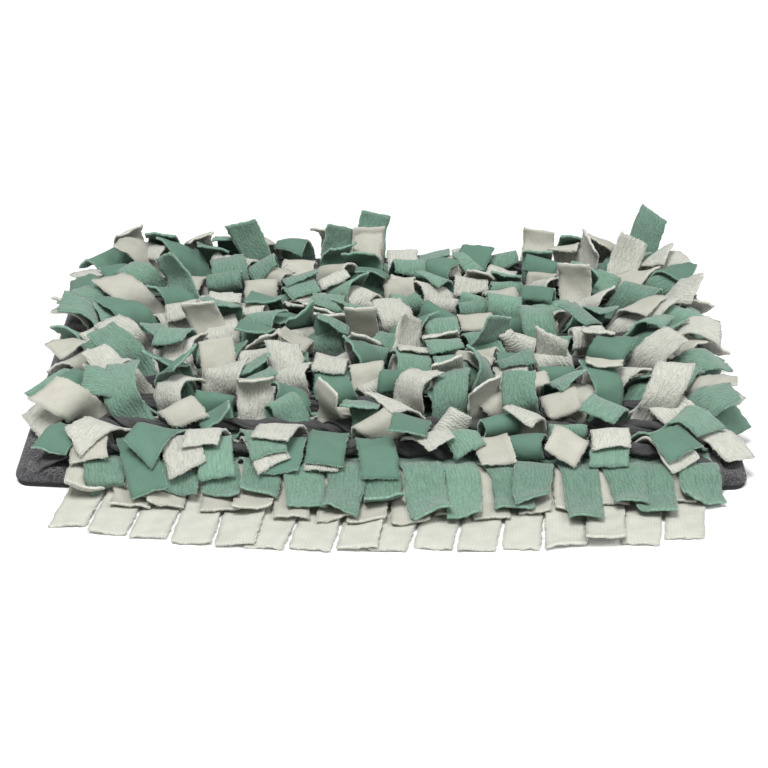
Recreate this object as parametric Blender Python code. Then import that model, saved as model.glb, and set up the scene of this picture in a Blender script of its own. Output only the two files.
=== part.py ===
"""Snuffle mat: a plush pad with rows of fleece tabs, each row sewn down under a twisted rope.

Units are metres, +Z is up, the long side runs along X and the front edge faces -Y.
The origin is the middle of the pad's flat underside.
"""

import math

import bmesh
import bpy
from mathutils import Vector

# Pad
PAD_LENGTH = 0.70
PAD_WIDTH = 0.47
PAD_THICKNESS = 0.018
PAD_CORNER = 0.014  # corner radius in plan
PAD_EDGE = 0.006  # how far the rounded side draws in
PAD_WAIST = 0.45  # height of the widest line, as a share of the thickness
EDGE_ROUNDING = (  # inset as a share of PAD_EDGE, height as a share of the thickness
    (0.0, PAD_WAIST),
    (0.4, 0.85),
    (1.0, 1.00),
)
PAD_STATIONS = 9  # points across the top, and across the underside
FRONT_BULGE = 0.015  # how far the middle of the front edge swells out
CHANNEL_DIP = 0.002  # depth of the sewn channel under each row
CHANNEL_HALF_WIDTH = 0.0132

# Rows of tabs
ROWS = 10
FRONT_INSET = 0.023  # from the pad's front corners to the first row
BACK_INSET = 0.022
SLOTS = 16  # tabs side by side in a row
SLOT_PITCH = 0.038
TAB_WIDTH = 0.0325
FRONT_SHIFT = 0.012  # the front rows are sewn on a little to the right
SHIFTED_ROWS = 5
SHEET = 0.0025  # thickness of the fleece
GAP = 0.0003  # between pieces that lie on each other

# Free tabs: a lower stretch that stands up beside the rope, then a stretch that flops over
LOWER_STRETCH = 0.038
UPPER_STRETCH = 0.037
LOWER_SHARE = 0.10  # how much of a tab's lean its lower stretch takes
UPPER_SHARE = 1.15
STAND_OFF = 4.0  # least lean of the lower stretch away from the rope, in degrees
CREASE_INSET = 0.8  # inner corner of the fold at the root, in sheet thicknesses
LEANS = (56, 50, 42, 32, 18, 0, -18, -32, -42, -50, -56)  # degrees towards the back, in turn
COLUMN_STEP = 5  # how far each column starts along LEANS from the last
SWAY = 0.005  # sideways lean of the tips
SWAY_TURN_SLOT = 0.25  # how fast that lean changes from slot to slot, in radians
SWAY_TURN_ROW = 0.20
SWAY_AT_BEND = 0.35  # share of the sideways lean that is reached where the tab bends
END_SPLAY = {-1: 0.060, 1: 0.044}  # how far the outermost tips fall outwards, left and right
END_SPLAY_POWER = 5  # the higher, the fewer tabs fall outwards
SPLAY_VARIES = 0.3  # from row to row
SPLAY_TURN_ROW = 2.1

# Front tabs, which drape over the pad's edge
FRINGE_REACH = 0.100  # from the pad's edge out to the tips
FRONT_CREAM_REACH = 0.060
FRONT_GREEN_REACH = 0.050
DRAPE_BROW = 0.004  # the bend lies this far inside the edge
DRAPE_LIFT = 0.0020  # and this far above the pad
DRAPE_LANDING = 0.014  # where a tab reaches the floor, out past the edge
DRAPE_LAYER = 0.0037  # one layer of tabs over another
DRAPE_SPLAY = {-1: 0.022, 1: 0.008}  # how far the outermost tips turn outwards, left and right
DRAPE_SPLAY_POWER = 3
DRAPE_SPLAY_AT = (0.1, 0.4, 1.0)  # share of that at the brow, the landing and the tip
DRAPE_SHORTFALL = {-1: 0.028, 1: 0.010}  # how much less the outermost front tabs reach
DRAPE_SHORTFALL_POWER = 2

# Half widths of the sewn strips, the upper one narrower so that lower tabs pass it
GREEN_SPINE = 0.0100
CREAM_SPINE = 0.0124
FRINGE_SPINE = 0.0124

# Rope
ROPE_HALF_LENGTH = 0.325
ROPE_HALF_WIDTH = 0.0066
ROPE_HEIGHT = 0.010
ROPE_STATIONS = 11
ROPE_SECTION = (  # y and z of half a section, as shares of the half width and height
    (0.85, 0.00),
    (1.00, 0.50),
    (0.50, 1.00),
)
ROPE_END = 0.55  # height at the ends, as a share of the height between them
ROPE_WANDER = 0.0008  # how far it strays from the seam
WANDER_TURN = 2.3  # radians from one station to the next
WANDER_TURN_ROW = 1.7
ROPE_SWELL = 0.10  # how much its height varies
SWELL_TURN = 3.1
STRIPS_UNDER_ROPE = 2

PITCH = (PAD_WIDTH - FRONT_INSET - BACK_INSET) / (ROWS - 1)
SEAM_LEVEL = PAD_THICKNESS - CHANNEL_DIP + GAP
LAYER = SHEET + GAP

COLOURS = {  # slot: colour, roughness
    "charcoal_plush": ((0.070, 0.068, 0.078, 1.0), 0.95),
    "charcoal_fleece": ((0.058, 0.056, 0.064, 1.0), 0.90),
    "green_fleece": ((0.235, 0.420, 0.330, 1.0), 0.90),
    "cream_fleece": ((0.730, 0.715, 0.650, 1.0), 0.90),
}


def clear_scene():
    for obj in list(bpy.data.objects):
        bpy.data.objects.remove(obj, do_unlink=True)


def material(slot):
    """The material of one finish, made the first time that it is asked for."""
    found = bpy.data.materials.get(slot)
    if found:
        return found
    colour, roughness = COLOURS[slot]
    made = bpy.data.materials.new(slot)
    made.use_nodes = True
    shader = made.node_tree.nodes["Principled BSDF"]
    shader.inputs["Base Color"].default_value = colour
    shader.inputs["Roughness"].default_value = roughness
    shader.inputs["Metallic"].default_value = 0.0
    return made


def finish(name, bm, slot):
    """Turn a bmesh into a named object with its faces pointing out."""
    bmesh.ops.recalc_face_normals(bm, faces=bm.faces)
    mesh = bpy.data.meshes.new(name)
    bm.to_mesh(mesh)
    bm.free()
    mesh.materials.append(material(slot))
    obj = bpy.data.objects.new(name, mesh)
    bpy.context.scene.collection.objects.link(obj)
    return obj


def skin(bm, loops):
    """Join loops of as many verts each into a closed body with flat ends."""
    for near, far in zip(loops, loops[1:]):
        for i in range(len(near)):
            j = (i + 1) % len(near)
            bm.faces.new((near[i], near[j], far[j], far[i]))
    bm.faces.new(loops[0])
    bm.faces.new(loops[-1])


def row_place(row):
    return -PAD_WIDTH / 2 + FRONT_INSET + row * PITCH


def slot_centre(slot, row):
    shift = FRONT_SHIFT * max(0.0, 1 - row / SHIFTED_ROWS)
    return shift + (slot - (SLOTS - 1) / 2) * SLOT_PITCH


def across(slot):
    """Where a slot lies in its row, from -1 at the left end to 1 at the right end."""
    return 2 * slot / (SLOTS - 1) - 1


def half_of(slot):
    """-1 for a slot in the left half of its row, 1 for one in the right half."""
    return -1 if across(slot) < 0 else 1


def front_swell(x):
    """How far the front edge stands out at x, between its corners."""
    return FRONT_BULGE * (1 - (2 * x / PAD_LENGTH) ** 2)


def front_edge(x):
    return -PAD_WIDTH / 2 - front_swell(x)


# ---------------------------------------------------------------- pad


def pad_section(y, half_length, top, drawn_in, swell):
    """One section across the pad: a flat underside, rounded ends and a top."""
    waist = top * PAD_WAIST
    shares = [2 * i / (PAD_STATIONS - 1) - 1 for i in range(PAD_STATIONS)]
    under = [(share * (half_length - drawn_in), 0.0) for share in shares]
    over = [(share * (half_length - drawn_in), top) for share in reversed(shares)]
    outline = [*under, (half_length, waist), *over, (-half_length, waist)]
    return [Vector((x, y - swell * front_swell(x), z)) for x, z in outline]


def corner_half_length(y):
    """Half the pad's length at y, shorter where the corners round off."""
    into_corner = abs(y) - (PAD_WIDTH / 2 - PAD_CORNER)
    if into_corner <= 0:
        return PAD_LENGTH / 2
    return PAD_LENGTH / 2 - PAD_CORNER + math.sqrt(max(0.0, PAD_CORNER**2 - into_corner**2))


def pad_places():
    """(y, top, swell) of each section: rounded edges, with channels and crests between."""
    edge = PAD_WIDTH / 2
    crest = PAD_THICKNESS
    rounding = [(inset * PAD_EDGE, height * crest) for inset, height in EDGE_ROUNDING]
    front = [(-edge + inset, top, 1.0) for inset, top in rounding]
    back = [(edge - inset, top, 0.0) for inset, top in reversed(rounding)]
    middle = []
    for row in range(ROWS):
        for side in (-1, 1):
            middle.append((row_place(row) + side * CHANNEL_HALF_WIDTH, crest - CHANNEL_DIP, 0.0))
        if row < ROWS - 1:
            middle.append((row_place(row) + PITCH / 2, crest, 0.0))
    return front + middle + back


def pad():
    bm = bmesh.new()
    loops = []
    for y, top, swell in pad_places():
        points = pad_section(y, corner_half_length(y), top, PAD_EDGE, swell)
        loops.append([bm.verts.new(point) for point in points])
    skin(bm, loops)
    finish("pad", bm, "charcoal_plush")


# ---------------------------------------------------------------- combs of tabs


def turned(direction, quarter):
    """A (y, z) direction turned by a quarter turn, +1 or -1."""
    y, z = direction
    return (-quarter * z, quarter * y)


def leaning(degrees):
    """The (y, z) direction that leans back from upright by so many degrees."""
    return (math.sin(math.radians(degrees)), math.cos(math.radians(degrees)))


def sway(slot, row):
    """How far a tab's tip lies sideways of its root."""
    drift = SWAY * math.sin(SWAY_TURN_SLOT * slot + SWAY_TURN_ROW * row)
    share = across(slot)
    splay = END_SPLAY[half_of(slot)] * (1 + SPLAY_VARIES * math.sin(SPLAY_TURN_ROW * row))
    return drift + splay * share**END_SPLAY_POWER


def free_path(slot, row, side, start):
    """Stations (x offset, y, z) of a free tab after its root, on side -1 (front) or +1 (back)."""
    turn = 2 * row + (side > 0) + COLUMN_STEP * slot
    lean = LEANS[turn % len(LEANS)]
    low = side * max(STAND_OFF, side * LOWER_SHARE * lean)
    high = UPPER_SHARE * lean
    aside = sway(slot, row)
    stations = []
    y, z = start
    for stretch, degrees, share in (
        (LOWER_STRETCH, low, SWAY_AT_BEND),
        (UPPER_STRETCH, high, 1.0),
    ):
        step_y, step_z = leaning(degrees)
        y += stretch * step_y
        z += stretch * step_z
        stations.append((share * aside, y, z))
    return stations


def draped_path(slot, layer, reach):
    """Stations of a front tab that lies over the pad's edge; layer 0 goes down to the floor."""
    edge = front_edge(slot_centre(slot, 0))
    aside = DRAPE_SPLAY[half_of(slot)] * across(slot) ** DRAPE_SPLAY_POWER
    reach -= DRAPE_SHORTFALL[half_of(slot)] * across(slot) ** DRAPE_SHORTFALL_POWER
    brow = PAD_THICKNESS + DRAPE_LIFT + SHEET / 2 + layer * DRAPE_LAYER
    floor = SHEET / 2 + layer * DRAPE_LAYER
    out = layer * DRAPE_LAYER
    places = (
        (edge + DRAPE_BROW - out, brow),
        (edge - DRAPE_LANDING - out, floor),
        (edge - reach, floor),
    )
    return [(share * aside, y, z) for share, (y, z) in zip(DRAPE_SPLAY_AT, places)]


def station_corners(x, y, z, along, side, half_width):
    """The four corners of a tab's section: lower left, lower right, upper right, upper left."""
    down = turned(along, -side)
    half = SHEET / 2
    low = (y + down[0] * half, z + down[1] * half)
    high = (y - down[0] * half, z - down[1] * half)
    return [
        Vector((x - half_width, *low)),
        Vector((x + half_width, *low)),
        Vector((x + half_width, *high)),
        Vector((x - half_width, *high)),
    ]


def unit(vector):
    length = math.hypot(*vector)
    return (vector[0] / length, vector[1] / length)


def grow_tab(bm, root, centre, path, side):
    """Pull the tab out of its root face, one station after another."""
    face = root
    middle = root.calc_center_median()
    points = [(0.0, middle.y, middle.z), *path]
    for i in range(1, len(points)):
        before = points[i - 1]
        here = points[i]
        into = unit((here[1] - before[1], here[2] - before[2]))
        along = into
        if i + 1 < len(points):
            after = points[i + 1]
            out = unit((after[1] - here[1], after[2] - here[2]))
            along = unit((into[0] + out[0], into[1] + out[1]))
        corners = station_corners(centre + here[0], here[1], here[2], along, side, TAB_WIDTH / 2)
        face = bmesh.ops.extrude_discrete_faces(bm, faces=[face])["faces"][0]
        for vert, corner in zip(face.verts, corners):
            vert.co = corner


def edge_stations(slots, row):
    """The x of each station along one edge of a strip: its ends and the sides of its tabs."""
    stations = [slot_centre(-0.5, row)]
    for slot in slots:
        stations.append(slot_centre(slot, row) - TAB_WIDTH / 2)
        stations.append(slot_centre(slot, row) + TAB_WIDTH / 2)
    stations.append(slot_centre(SLOTS - 0.5, row))
    return stations


def ladder(bm, front, back):
    """Close the flat strip between two rows of verts that need not pair up."""
    i = 0
    j = 0
    while i < len(front) - 1 or j < len(back) - 1:
        front_next = i < len(front) - 1
        if front_next and j < len(back) - 1:
            front_next = front[i + 1].co.x <= back[j + 1].co.x
        if front_next:
            bm.faces.new((front[i], front[i + 1], back[j]))
            i += 1
        else:
            bm.faces.new((front[i], back[j + 1], back[j]))
            j += 1


def comb(name, slot_name, row, layer, half_width, tabs):
    """A strip sewn down along the row, with tabs on its front and back edges.

    tabs gives, for side -1 and side +1, the slots that have a tab, the function of a tab's path
    and how far the strip's upper edge is set in from its lower one.
    """
    bm = bmesh.new()
    middle = row_place(row)
    bottom = SEAM_LEVEL + layer * LAYER
    rims = {}
    for side, (slots, _, inset) in tabs.items():
        stations = edge_stations(slots, row)
        edge = middle + side * half_width
        low = [bm.verts.new((x, edge, bottom)) for x in stations]
        high = [bm.verts.new((x, edge - side * inset, bottom + SHEET)) for x in stations]
        rims[side] = (low, high)
    for level in (0, 1):
        ladder(bm, rims[-1][level], rims[1][level])
    for end in (0, -1):
        corners = (rims[-1][0][end], rims[-1][1][end], rims[1][1][end], rims[1][0][end])
        bm.faces.new(corners)
    for side, (slots, path_of, _) in tabs.items():
        low, high = rims[side]
        start = (middle + side * half_width, bottom + SHEET / 2)
        for i in range(len(low) - 1):
            wall = bm.faces.new((low[i], low[i + 1], high[i + 1], high[i]))
            is_root = i % 2 == 1
            if is_root:
                slot = slots[i // 2]
                grow_tab(bm, wall, slot_centre(slot, row), path_of(slot, start), side)
    finish(name, bm, slot_name)


def free_tabs(row, side, slots):
    def path_of(slot, start):
        return free_path(slot, row, side, start)

    return (slots, path_of, CREASE_INSET * SHEET)


def draped_tabs(layer, reach):
    def path_of(slot, start):
        return draped_path(slot, layer, reach)

    return (list(range(SLOTS)), path_of, 0.0)


def alternate_slots(first):
    return list(range(first, SLOTS, 2))


def row_of_tabs(row, base_layer):
    """The cream strip of a row and the green strip over it; each takes every other slot."""
    odd_first = row % 2
    even_first = 1 - odd_first
    cream = {
        -1: free_tabs(row, -1, alternate_slots(odd_first)),
        1: free_tabs(row, 1, alternate_slots(even_first)),
    }
    green = {
        -1: free_tabs(row, -1, alternate_slots(even_first)),
        1: free_tabs(row, 1, alternate_slots(odd_first)),
    }
    if row == 0:
        cream[-1] = draped_tabs(1, FRONT_CREAM_REACH)
        green[-1] = draped_tabs(2, FRONT_GREEN_REACH)
    comb(f"cream_comb_{row + 1:02d}", "cream_fleece", row, base_layer, CREAM_SPINE, cream)
    comb(f"green_comb_{row + 1:02d}", "green_fleece", row, base_layer + 1, GREEN_SPINE, green)


def front_fringe():
    """The longest tabs, under all others, which drape over the front edge to the floor."""
    tabs = {
        -1: draped_tabs(0, FRINGE_REACH),
        1: ([], None, 0.0),
    }
    comb("front_fringe", "cream_fleece", 0, 0, FRINGE_SPINE, tabs)


# ---------------------------------------------------------------- ropes


def rope(row, base_layer):
    """A strip of fleece twisted and sewn down over the strips of its row."""
    bm = bmesh.new()
    under = SEAM_LEVEL + (base_layer + STRIPS_UNDER_ROPE) * LAYER
    outline = [*ROPE_SECTION, *((-y, z) for y, z in reversed(ROPE_SECTION))]
    loops = []
    for i in range(ROPE_STATIONS):
        along = 2 * i / (ROPE_STATIONS - 1) - 1
        x = along * ROPE_HALF_LENGTH
        wander = ROPE_WANDER * math.sin(WANDER_TURN * i + WANDER_TURN_ROW * row)
        height = ROPE_HEIGHT * (1 + ROPE_SWELL * math.sin(SWELL_TURN * i + row))
        if i in (0, ROPE_STATIONS - 1):
            height *= ROPE_END
        ring = []
        for y, z in outline:
            place_y = row_place(row) + wander + y * ROPE_HALF_WIDTH
            ring.append(bm.verts.new((x, place_y, under + z * height)))
        loops.append(ring)
    skin(bm, loops)
    finish(f"rope_{row + 1:02d}", bm, "charcoal_fleece")


def main():
    clear_scene()
    pad()
    front_fringe()
    for row in range(ROWS):
        base_layer = 1 if row == 0 else 0
        row_of_tabs(row, base_layer)
        rope(row, base_layer)


main()
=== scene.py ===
"""Snuffle mat: a plush pad with rows of loose fleece tabs, each row sewn down under a twisted rope.

All the fleece tabs are cut, sewn on in rows that are far apart, and then gathered to their places
and left to settle on each other, on the ropes, over the pad's edges and on the floor.
"""

import math
import random

import bmesh
import bpy
from bpy.props import FloatProperty, FloatVectorProperty, IntProperty, PointerProperty
from mathutils import Matrix, Quaternion, Vector, noise


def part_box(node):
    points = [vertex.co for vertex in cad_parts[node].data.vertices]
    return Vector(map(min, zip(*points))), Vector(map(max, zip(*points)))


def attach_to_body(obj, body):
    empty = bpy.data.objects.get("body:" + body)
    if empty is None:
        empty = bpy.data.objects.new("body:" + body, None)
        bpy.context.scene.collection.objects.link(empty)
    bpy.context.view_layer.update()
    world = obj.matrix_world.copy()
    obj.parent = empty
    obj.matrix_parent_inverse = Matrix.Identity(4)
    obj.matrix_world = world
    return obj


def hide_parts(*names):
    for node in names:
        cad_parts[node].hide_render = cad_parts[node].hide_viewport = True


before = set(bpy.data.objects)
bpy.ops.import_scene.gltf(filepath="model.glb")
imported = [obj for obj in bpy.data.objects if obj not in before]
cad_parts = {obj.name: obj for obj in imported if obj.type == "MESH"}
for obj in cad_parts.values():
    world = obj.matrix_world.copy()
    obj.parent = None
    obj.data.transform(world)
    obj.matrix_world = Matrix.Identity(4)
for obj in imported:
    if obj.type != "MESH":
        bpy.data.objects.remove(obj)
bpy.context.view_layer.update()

bl_info = {
    "name": "Snuffle mat",
    "version": (1, 0, 0),
    "blender": (4, 5, 0),
    "location": "3D View > Sidebar > Mat",
    "description": "Sews a plush pad with rows of loose fleece tabs under twisted ropes",
    "category": "Object",
}

SEED = 33
FRONT = -1  # sides of a row
BACK = 1


def middle_y(node):
    low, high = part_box(node)
    return (low.y + high.y) / 2


# The pad and the rows, as the frame has them
ROPES = sorted(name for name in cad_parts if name.startswith("rope_"))
ROWS = len(ROPES)
FIRST_ROW = middle_y(ROPES[0])
LAST_ROW = middle_y(ROPES[-1])
PITCH = (LAST_ROW - FIRST_ROW) / (ROWS - 1)
PAD_LOW, PAD_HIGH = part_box("pad")
SEAM_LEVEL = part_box("cream_comb_02")[0].z
ROPE_LOW, ROPE_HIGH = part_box("rope_02")

SLOTS = 16  # tabs side by side along a row
FRONT_SHIFT = 0.012  # the front rows are sewn on a little to the right
SHIFTED_ROWS = 5
GREEN_SPINE = 0.0100  # half widths of the sewn strips
CREAM_SPINE = 0.0124
CAD_LAYER = 0.0028  # one sewn strip over another

# Free tabs. Angles in degrees, those that lean or bend a tab are counted towards the mat's back
SPRING = 38  # how far a tab first points away from its rope
LEAN = {FRONT: (-16, 9), BACK: (8, 9)}  # mean and spread of a tab's lean once it has turned up
WAYS = (  # share of the tabs, mean and spread of their bend, mean and spread of their twist
    (0.52, (-150, 30), (0, 24)),  # over towards the front
    (0.16, (8, 28), (0, 24)),  # upright
    (0.09, (125, 28), (50, 14)),  # over to one side or the other
    (0.09, (125, 28), (-50, 14)),
    (0.12, (135, 26), (0, 20)),  # over towards the back
)
CUP = 15  # spread of how far a tab rounds across its width
TURNED_OVER = 0.62  # how often a tab that bends over its own rope has its fuzzy face outside
FOLD = (0.44, 0.08)  # where along its length a tab bends most
FOLD_SPREAD = 0.20
YAW = 13
SLANT = 9  # how far a tab leans along its row
LENGTH_VARIES = 0.05
WIDTH_VARIES = 0.04
SKEW = 0.0036  # how crooked a tip is cut
END_TURNS = (1.0, 0.8, 0.4)  # how much the outermost tabs turn outwards
ROW_TURNS = {0: 0.3, 1: 0.9, ROWS - 1: 0.25}  # some rows' ends turn outwards less
END_TWIST = 64
END_YAW = 34
END_SLANT = 36
END_BEND = 84
END_LONGER = 0.24

# Tabs that lie in a way of their own: row, side, cloths, first slot, last slot, lean, bend,
# how much longer they are, how often their fuzzy face is outside, and how wildly they turn
BOTH = ("green", "cream")
LIES = (
    (ROWS - 1, BACK, BOTH, 0, 15, -26, -96, 0.0, 0.6, 1.0),
    (0, BACK, ("green",), 1, 8, -58, -44, 0.28, 0.1, 1.0),
    (0, BACK, ("cream",), 1, 8, -58, -44, 0.14, 0.8, 1.0),
    (0, BACK, BOTH, 9, 15, -30, -100, 0.02, 0.35, 3.4),
    (1, FRONT, ("green",), 1, 8, -52, -50, 0.28, 0.1, 1.0),
    (1, FRONT, ("cream",), 1, 8, -50, -56, 0.16, 0.9, 1.0),
    (1, FRONT, BOTH, 9, 15, -40, -92, 0.0, 0.6, 2.4),
)

LOW_PLACES = ((0.13, 0.19, 0.08, 0.30),)  # x, y, radius, and how much shorter the tabs are there

# Front tabs over the pad's edge: layer, width, reach past the edge and how far aside the tips lie
# at the left and at the right, segments, how far a tip strays, mean and spread of its curl
DRAPES = {
    "fringe": (0, 0.0354, (0.100, 0.100), (-0.009, -0.025), 16, 0.0016, (0, 3)),
    "cream": (1, 0.0358, (0.055, 0.047), (0.008, -0.010), 12, 0.0050, (-4, 7)),
    "green": (2, 0.0364, (0.044, 0.052), (0.022, 0.002), 12, 0.0060, (3, 16)),
}
DRAPE_WILDER = 1.4  # the right half strays more than the left
DRAPE_BROW = 0.004
DRAPE_LIFT = 0.0020
DRAPE_LANDING = 0.014
DRAPE_LAYER = 0.0037
DRAPE_SHORTFALL = {-1: 0.028, 1: 0.010}

BACK_LIMIT = 0.284  # how far back the last tabs are allowed to lie
BACK_GIVE = 0.018  # and how far before that they start to be held back
UNEVEN = 0.0016  # how far a cut edge strays
RUFFLE = 0.0016  # how far a tab's face strays
FIBRE_EVERY = 0.0011
FIBRE = (0.0008, 0.0021)  # lengths of loose fibres
RIDGES = 1750  # radians of nap ridges to a metre across the cloth
RIBS = 2100  # and of the knit's ribs
ROPE_TURNS = 1.7

# Where a rope's end comes open: over what length, how bluntly, how wide, and how far forward it lies
ROPE_OPENS = (0.055, 1.3, 0.042, 0.0)
FIRST_ROPE_OPENS = {-1: (0.042, 0.7, 0.038, 0.001), 1: (0.055, 1.3, 0.042, 0.010)}  # left and right
ROPE_PAINTED_LIGHT = (0.35, 1.0)  # how light a rope is: painted shade in its twist and painted light where it lies open
PAD_CORNER = 0.014
PAD_SEAM = 0.0060  # where the plush meets the base
PAD_ROUND = 0.0095
PAD_BAND = ((0.0016, 0.0056), (0.0013, 0.0030), (0.0016, 0.0006), (0.0022, 0.0))  # inset, height

# Settling
GROW = 10.0  # the cloth is settled at this many times its size
APART_X = 1.6  # how far apart the tabs start along their row, as a share of their real spacing
APART_Y = 0.058  # how far apart the lines of tabs start, two lines to a row
GATHERED = 22  # frame at which all rows are in place
SETTLED = 50
PLATE_DROP = 0.04


class MatSizes(bpy.types.PropertyGroup):
    """Sizes that a maker would change."""

    slot_pitch: FloatProperty(
        name="Slot pitch", description="From one tab to the next in a row", default=0.038, unit="LENGTH"
    )
    tab_width: FloatProperty(
        name="Tab width", description="Width of a fleece tab", default=0.0350, unit="LENGTH"
    )
    tab_length: FloatProperty(
        name="Tab length", description="Length of a free tab past its strip", default=0.068, unit="LENGTH"
    )
    fleece: FloatProperty(
        name="Fleece thickness", description="Thickness of the tabs' fleece", default=0.0025, unit="LENGTH"
    )
    segments: IntProperty(
        name="Segments", description="Lengths into which a free tab is divided", default=9, min=4
    )
    columns: IntProperty(
        name="Columns", description="Points across a tab", default=5, min=3
    )
    rope_strip: FloatProperty(
        name="Rope strip", description="Width of the strip that a rope is rolled from", default=0.054, unit="LENGTH"
    )


class MatColours(bpy.types.PropertyGroup):
    """Colours of the cloths and the floor."""

    green: FloatVectorProperty(
        name="Green", description="Sage green fleece", subtype="COLOR", size=4, default=(0.111, 0.205, 0.150, 1.0)
    )
    cream: FloatVectorProperty(
        name="Cream", description="Off-white fleece", subtype="COLOR", size=4, default=(0.402, 0.408, 0.356, 1.0)
    )
    smooth_green: FloatVectorProperty(
        name="Smooth green", description="Flat face of the sage green fleece", subtype="COLOR", size=4,
        default=(0.093, 0.181, 0.133, 1.0),
    )
    smooth_cream: FloatVectorProperty(
        name="Smooth cream", description="Flat face of the off-white fleece", subtype="COLOR", size=4,
        default=(0.400, 0.397, 0.340, 1.0),
    )
    charcoal: FloatVectorProperty(
        name="Charcoal", description="Fleece of the ropes", subtype="COLOR", size=4, default=(0.045, 0.045, 0.047, 1.0)
    )
    plush: FloatVectorProperty(
        name="Plush", description="Plush of the pad", subtype="COLOR", size=4, default=(0.046, 0.045, 0.050, 1.0)
    )
    floor: FloatVectorProperty(
        name="Floor", description="Floor that the mat lies on", subtype="COLOR", size=4, default=(0.93, 0.93, 0.93, 1.0)
    )


# ---------------------------------------------------------------- shader maths


class Shade:
    """A socket of a material's nodes. Arithmetic on it adds Math nodes."""

    def __init__(self, tree, socket=None):
        self.tree = tree
        self.socket = socket

    def node(self, kind, settings=None, inputs=None, output=0):
        """Add a node, with its settings first and then its sockets, and return one of its outputs."""
        made = self.tree.nodes.new(kind)
        for name, value in (settings or {}).items():
            if name == "stops":
                ramp = made.color_ramp
                while len(ramp.elements) < len(value):
                    ramp.elements.new(1.0)
                for element, (place, colour) in zip(ramp.elements, value):
                    element.position = place
                    element.color = colour
            else:
                setattr(made, name, value)
        for name, value in (inputs or {}).items():
            if isinstance(value, Shade):
                self.tree.links.new(value.socket, made.inputs[name])
            else:
                made.inputs[name].default_value = value
        return Shade(self.tree, made.outputs[output])

    def maths(self, operation, first, second):
        return self.node("ShaderNodeMath", {"operation": operation}, {0: first, 1: second})

    def __add__(self, other):
        return self.maths("ADD", self, other)

    def __radd__(self, other):
        return self.maths("ADD", other, self)

    def __sub__(self, other):
        return self.maths("SUBTRACT", self, other)

    def __rsub__(self, other):
        return self.maths("SUBTRACT", other, self)

    def __mul__(self, other):
        return self.maths("MULTIPLY", self, other)

    def __rmul__(self, other):
        return self.maths("MULTIPLY", other, self)

    def sine(self):
        return self.maths("SINE", self, 0.0)

    def ramp(self, low, high):
        """0 below low, 1 above high, and a soft step between."""
        settings = {"interpolation_type": "SMOOTHSTEP"}
        return self.node("ShaderNodeMapRange", settings, {"Value": self, "From Min": low, "From Max": high})

    def blend(self, dark, light):
        """A colour from dark to light by this value."""
        settings = {"data_type": "RGBA"}
        return self.node("ShaderNodeMix", settings, {0: self, 6: dark, 7: light}, 2)

    def scaled(self, size):
        """These coordinates with each axis multiplied."""
        return self.node("ShaderNodeMapping", None, {"Vector": self, "Scale": size})

    def speckle(self, scale, detail=2.0, roughness=0.5, distortion=0.0):
        """Noise on these coordinates."""
        inputs = {
            "Vector": self,
            "Scale": scale,
            "Detail": detail,
            "Roughness": roughness,
            "Distortion": distortion,
        }
        return self.node("ShaderNodeTexNoise", None, inputs)


def tinted(colour, factor):
    return (*(min(1.0, channel * factor) for channel in colour[:3]), 1.0)


def finished(name, shader_values, make):
    """A material whose varying values come from make(start), a dict of socket names."""
    found = bpy.data.materials.get(name)
    if found:
        return found
    material = bpy.data.materials.new(name)
    material.use_nodes = True
    tree = material.node_tree
    shader = tree.nodes["Principled BSDF"]
    for socket, value in shader_values.items():
        shader.inputs[socket].default_value = value
    for socket, value in make(Shade(tree)).items():
        tree.links.new(value.socket, shader.inputs[socket])
    return material


def bumped(start, height, distance, strength=1.0):
    inputs = {"Height": height, "Distance": distance, "Strength": strength}
    return start.node("ShaderNodeBump", None, inputs)


def cloth_place(start):
    """Metres across and along the cloth."""
    return start.node("ShaderNodeUVMap", {"uv_map": "cloth"})


def tone(start):
    """How light or dark each piece is, around 0.5: each free tab's own lightness at random, and painted light and shade
    on the draped tabs and the ropes.
    """
    settings = {"attribute_type": "GEOMETRY", "attribute_name": "tone"}
    return start.node("ShaderNodeAttribute", settings, None, "Fac")


def brushed_fleece(name, colour, depth, sheen=0.3):
    """The fuzzy face of fleece: wavy lengthwise ridges of nap over a fine pile."""

    def make(start):
        place = cloth_place(start)
        across = start.node("ShaderNodeSeparateXYZ", None, {"Vector": place})
        sway = place.scaled((60, 45, 1)).speckle(1.0, 1.0, 0.5)
        wriggle = place.scaled((260, 190, 1)).speckle(1.0, 2.0, 0.6)
        ridges = (across * RIDGES + sway * 16 + wriggle * 13).sine() * 0.5 + 0.5
        broken = place.scaled((260, 110, 1)).speckle(1.0, 2.0, 0.6)
        fibres = place.scaled((1100, 420, 1)).speckle(1.0, 2.0, 0.6)
        tufts = place.scaled((560, 150, 1)).speckle(1.0, 2.0, 0.6, 0.6)
        clumps = place.speckle(90, 2.0, 0.5)
        creases = ridges.ramp(0.1, 1.0) * (broken.ramp(0.30, 0.66) * 0.75 + 0.25)
        height = fibres * 0.25 + tufts * 0.30 + clumps * 0.5 - creases * 0.50
        # Painted highlights on the fibres and tufts and painted shade in the creases of the nap, with each piece's own
        # lightness and painted light on top
        light = 0.14 + fibres * 0.32 + tufts.ramp(0.3, 0.7) * 0.22 - creases * 0.20
        light = light + clumps.ramp(0.3, 0.7) * 0.08 + tone(start) * 0.40
        return {
            "Base Color": light.blend(tinted(colour, 1 - depth), tinted(colour, 1 + depth)),
            "Normal": bumped(start, height, 0.0015),
        }

    return finished(name, {"Roughness": 0.95, "Sheen Weight": sheen, "Sheen Roughness": 0.6}, make)


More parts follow.
